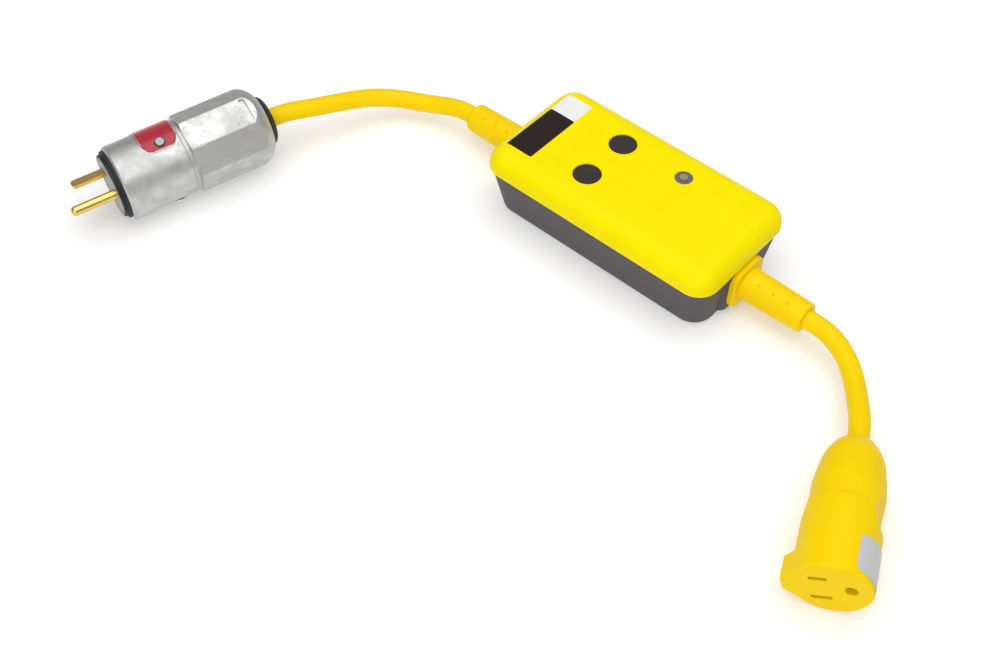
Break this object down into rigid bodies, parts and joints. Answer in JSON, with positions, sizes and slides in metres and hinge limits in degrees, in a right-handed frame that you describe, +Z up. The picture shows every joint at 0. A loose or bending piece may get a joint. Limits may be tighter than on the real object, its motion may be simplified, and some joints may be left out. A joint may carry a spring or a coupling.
{
  "type": "in-line rcd adapter cord set",
  "caption": "Short adapter cord set: cast metal three-pin plug, yellow and grey trip box with two round sprung buttons and an indicator, and a moulded yellow three-hole connector.",
  "frame": {"origin": "under the middle of the trip box, on the surface it stands on", "axes": "+X along the box from the line side to the load side, +Z up, -Y towards the test button's side"},
  "size_m": [0.3994, 0.2109, 0.041],
  "materials": {
    "cover_yellow": "semi-gloss moulded, lemon yellow",
    "case_grey": "fine matt texture, warm dark grey",
    "cord_yellow": "smooth satin jacket, warm yellow",
    "button_grey": "smooth matt dark grey",
    "lens_clear": "clear moulded lens",
    "cast_shell": "cast and tumbled, satin",
    "insert_grey": "matt moulded grey",
    "black_rubber": "matt black",
    "pin_brass": "bright turned and stamped",
    "steel": "plain zinc",
    "plate_red": "red enamel on a thin plate",
    "label_black": "printed black film, bare",
    "label_white": "white film, bare",
    "board_green": "lacquered laminate",
    "copper": "enamelled copper wire",
    "iron": "soft iron, plated",
    "moulded_black": "black moulding",
    "moulded_white": "natural white moulding",
    "varistor_blue": "dipped blue",
    "capacitor_yellow": "boxed film",
    "contact_silver": "silvered",
    "lamp_clear": "clear epoxy"
  },
  "bodies": {
    "box": {"top_cover": "cover_yellow", "bottom_case": "case_grey", "case_gasket": "black_rubber", "case_screws": "steel", "reset_spring": "steel", "test_spring": "steel", "switch_bodies": "moulded_black", "indicator_lens": "lens_clear", "indicator_lamp": "lamp_clear", "circuit_board": "board_green", "board_screws": "steel", "sensing_rings": "moulded_black", "primary_staples": "copper", "surge_varistor": "varistor_blue", "filter_capacitor": "capacitor_yellow", "control_chip": "moulded_black", "rectifier_diodes": "moulded_black", "terminals": "pin_brass", "terminal_screws": "steel", "conductors": "moulded_black", "relay_base": "moulded_white", "relay_yoke": "iron", "relay_core": "iron", "relay_bobbin": "moulded_white", "relay_coil": "copper", "fixed_contacts": "contact_silver", "line_relief": "cord_yellow", "load_relief": "cord_yellow", "cord_tails": "cord_yellow", "cord_clamps": "steel", "clamp_screws": "steel", "cover_label": "label_black", "code_label": "label_white", "line_cord": "cord_yellow", "load_cord": "cord_yellow", "plug_shell": "cast_shell", "plug_insert": "insert_grey", "plug_gasket": "black_rubber", "line_blade": "pin_brass", "neutral_blade": "pin_brass", "ground_pin": "pin_brass", "plug_terminal_screws": "steel", "cord_bushing": "black_rubber", "plug_cord_tail": "cord_yellow", "cord_grip": "moulded_black", "grip_screws": "steel", "nameplate": "plate_red", "nameplate_rivets": "steel", "shell_screw": "steel", "connector_body": "cord_yellow", "contact_carrier": "moulded_black", "socket_contacts": "pin_brass", "connector_label": "label_white"},
    "reset_button": {"reset_button": "button_grey"},
    "test_button": {"test_button": "button_grey"},
    "reset_plunger": {"reset_plunger": "moulded_white"},
    "test_plunger": {"test_plunger": "moulded_white"},
    "armature": {"relay_armature": "iron", "relay_pusher": "moulded_white", "moving_contacts": "contact_silver"}
  },
  "joints": [
    {"name": "reset_press", "type": "slide", "parent": "box", "child": "reset_button", "axis": [0, 0, -1], "range_m": [0, 0.0015], "stiffness_N_per_m": 600, "springref_m": -0.0012, "deforming": ["reset_spring"]},
    {"name": "test_press", "type": "slide", "parent": "box", "child": "test_button", "axis": [0, 0, -1], "range_m": [0, 0.0015], "stiffness_N_per_m": 600, "springref_m": -0.0012, "deforming": ["test_spring"]},
    {"name": "reset_switch_travel", "type": "slide", "parent": "box", "child": "reset_plunger", "axis": [0, 0, -1], "range_m": [0, 0.0015], "stiffness_N_per_m": 200, "springref_m": -0.0008},
    {"name": "test_switch_travel", "type": "slide", "parent": "box", "child": "test_plunger", "axis": [0, 0, -1], "range_m": [0, 0.0015], "stiffness_N_per_m": 200, "springref_m": -0.0008},
    {"name": "armature_pivot", "type": "hinge", "parent": "box", "child": "armature", "pos_m": [0.0213, 0, 0.0145], "axis": [0, 1, 0], "range_deg": [0, 3.5], "stiffness_Nm_per_rad": 0.02, "springref_deg": -2.86}
  ],
  "couplings": [
    {"joint": "reset_switch_travel", "follows": "reset_press", "ratio": 1},
    {"joint": "test_switch_travel", "follows": "test_press", "ratio": 1}
  ]
}
